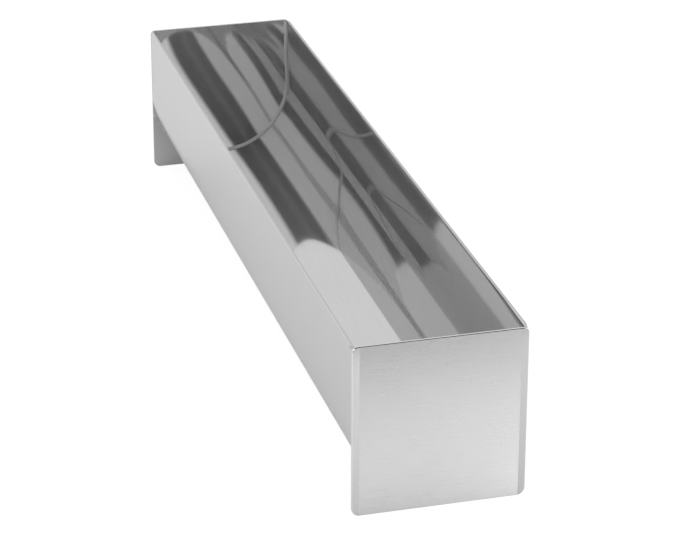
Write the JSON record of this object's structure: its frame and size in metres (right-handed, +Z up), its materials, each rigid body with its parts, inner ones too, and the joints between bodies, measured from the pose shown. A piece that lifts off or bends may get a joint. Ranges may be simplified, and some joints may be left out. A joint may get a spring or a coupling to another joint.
{
  "type": "half-round baking mold",
  "caption": "Long open baking mold of polished steel: a U-shaped trough with a half-round floor, closed at each end by an upright rounded-corner plate that doubles as a foot.",
  "frame": {"origin": "on the standing surface, under the middle of the mold", "axes": "+Z up; +Y along the trough from the front plate to the rear plate; +X to the right as seen from the front plate"},
  "size_m": [0.075, 0.4, 0.077],
  "materials": {
    "polished_sheet": "stainless sheet, mirror polished inside and satin outside",
    "brushed_plate": "stainless plate, polished inside, outer face brushed crosswise with a strip ground upright along each side edge",
    "weld_bead": "satin dressed weld"
  },
  "bodies": {
    "root": {"trough": "polished_sheet", "front_end_plate": "brushed_plate", "rear_end_plate": "brushed_plate", "front_weld_seam": "weld_bead", "rear_weld_seam": "weld_bead"}
  },
  "joints": []
}
